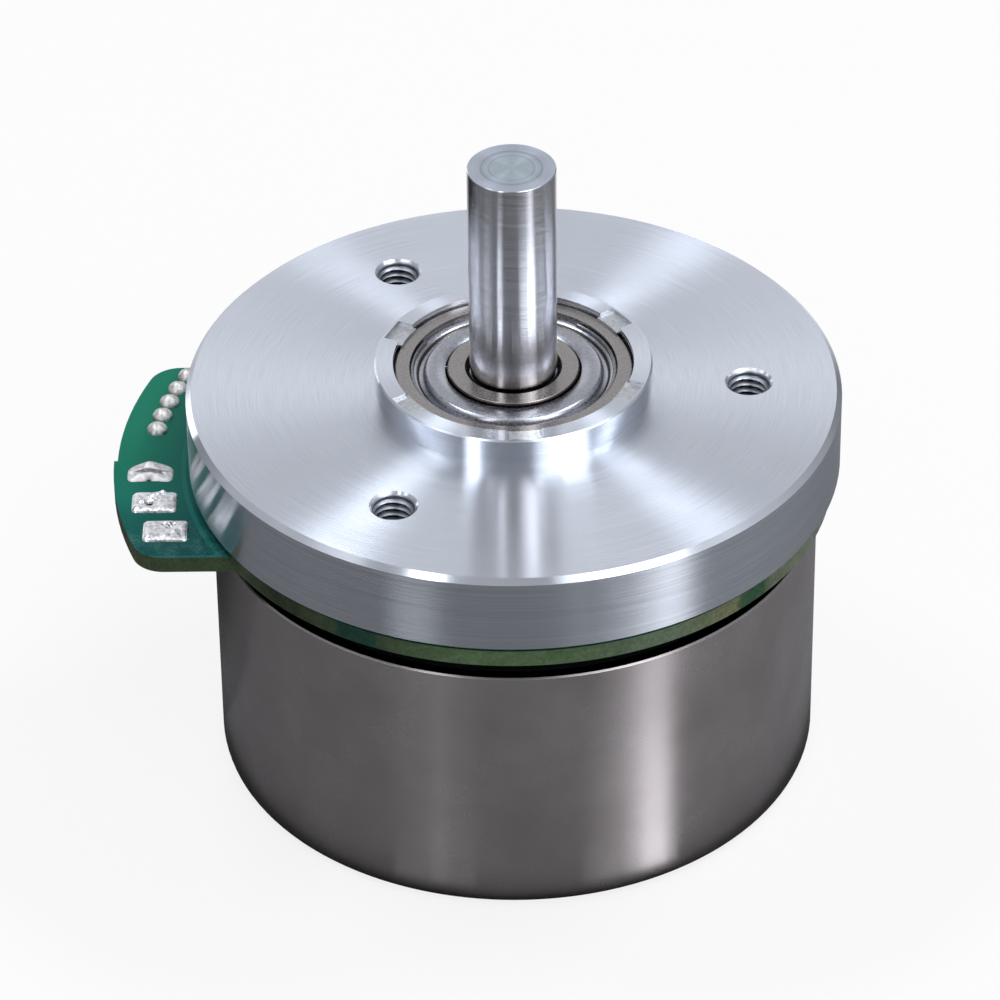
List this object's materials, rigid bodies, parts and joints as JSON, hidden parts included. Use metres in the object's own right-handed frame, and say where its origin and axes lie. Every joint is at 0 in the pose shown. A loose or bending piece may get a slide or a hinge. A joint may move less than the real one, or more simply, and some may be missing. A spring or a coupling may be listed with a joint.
{
  "type": "brushless dc motor",
  "caption": "External-rotor brushless DC motor: turned flange with pilot and tapped holes, output shaft in ball bearings, board with solder tab, and a steel rotor cup that turns with the shaft.",
  "frame": {"origin": "centre of the flange's mounting face, at the foot of the pilot boss, on the shaft axis", "axes": "+Z along the output shaft, out of the flange; -X towards the circuit board's solder tab"},
  "size_m": [0.0669, 0.06, 0.0619],
  "materials": {
    "turned_aluminium": "finely turned, bright",
    "board_green": "green solder mask over glass laminate",
    "lamination_steel": "punched electrical sheet",
    "insulator_nylon": "moulded glass-filled nylon",
    "cage_nylon": "moulded nylon",
    "ball_steel": "polished bearing steel",
    "pressed_steel": "pressed sheet",
    "bearing_steel": "ground bearing steel",
    "spring_steel": "rolled spring steel",
    "enamelled_copper": "enamelled copper wire, wound",
    "solder": "reflowed solder, bright",
    "tinned_copper": "tinned copper",
    "sensor_plastic": "moulded epoxy",
    "rotor_steel": "drawn steel, dull nickel plate",
    "shaft_steel": "ground steel",
    "bush_steel": "turned steel",
    "bonded_magnet": "bonded magnet, black coating"
  },
  "bodies": {
    "stator": {"flange": "turned_aluminium", "circuit_board": "board_green", "stator_core": "lamination_steel", "upper_insulator": "insulator_nylon", "lower_insulator": "insulator_nylon", "wave_washer": "spring_steel", "front_bearing_outer_ring": "bearing_steel", "front_bearing_outside_shield": "pressed_steel", "front_bearing_inside_shield": "pressed_steel", "front_bearing_outside_snap_wire": "pressed_steel", "front_bearing_inside_snap_wire": "pressed_steel", "rear_bearing_outer_ring": "bearing_steel", "rear_bearing_outside_shield": "pressed_steel", "rear_bearing_inside_shield": "pressed_steel", "rear_bearing_outside_snap_wire": "pressed_steel", "rear_bearing_inside_snap_wire": "pressed_steel", "coil_01": "enamelled_copper", "coil_02": "enamelled_copper", "coil_03": "enamelled_copper", "coil_04": "enamelled_copper", "coil_05": "enamelled_copper", "coil_06": "enamelled_copper", "coil_07": "enamelled_copper", "coil_08": "enamelled_copper", "coil_09": "enamelled_copper", "coil_10": "enamelled_copper", "coil_11": "enamelled_copper", "coil_12": "enamelled_copper", "phase_solder_1": "solder", "phase_solder_2": "solder", "phase_solder_3": "solder", "signal_solder_1": "solder", "signal_solder_2": "solder", "signal_solder_3": "solder", "signal_solder_4": "solder", "signal_solder_5": "solder", "phase_pin_1": "tinned_copper", "phase_pin_2": "tinned_copper", "phase_pin_3": "tinned_copper", "hall_sensor_1": "sensor_plastic", "hall_sensor_2": "sensor_plastic", "hall_sensor_3": "sensor_plastic"},
    "rotor": {"rotor_cup": "rotor_steel", "shaft": "shaft_steel", "hub_bush": "bush_steel", "magnet_ring": "bonded_magnet", "front_bearing_inner_ring": "bearing_steel", "rear_bearing_inner_ring": "bearing_steel"},
    "front_cage": {"front_bearing_cage": "cage_nylon", "front_bearing_balls": "ball_steel"},
    "rear_cage": {"rear_bearing_cage": "cage_nylon", "rear_bearing_balls": "ball_steel"}
  },
  "joints": [
    {"name": "shaft_spin", "type": "hinge", "parent": "stator", "child": "rotor", "pos_m": [0, 0, 0], "axis": [0, 0, 1], "continuous": true},
    {"name": "front_cage_spin", "type": "hinge", "parent": "stator", "child": "front_cage", "pos_m": [0, 0, -0.0015], "axis": [0, 0, 1], "continuous": true},
    {"name": "rear_cage_spin", "type": "hinge", "parent": "stator", "child": "rear_cage", "pos_m": [0, 0, -0.0309], "axis": [0, 0, 1], "continuous": true}
  ],
  "couplings": [
    {"joint": "front_cage_spin", "follows": "shaft_spin", "ratio": 0.3677},
    {"joint": "rear_cage_spin", "follows": "shaft_spin", "ratio": 0.3677}
  ]
}
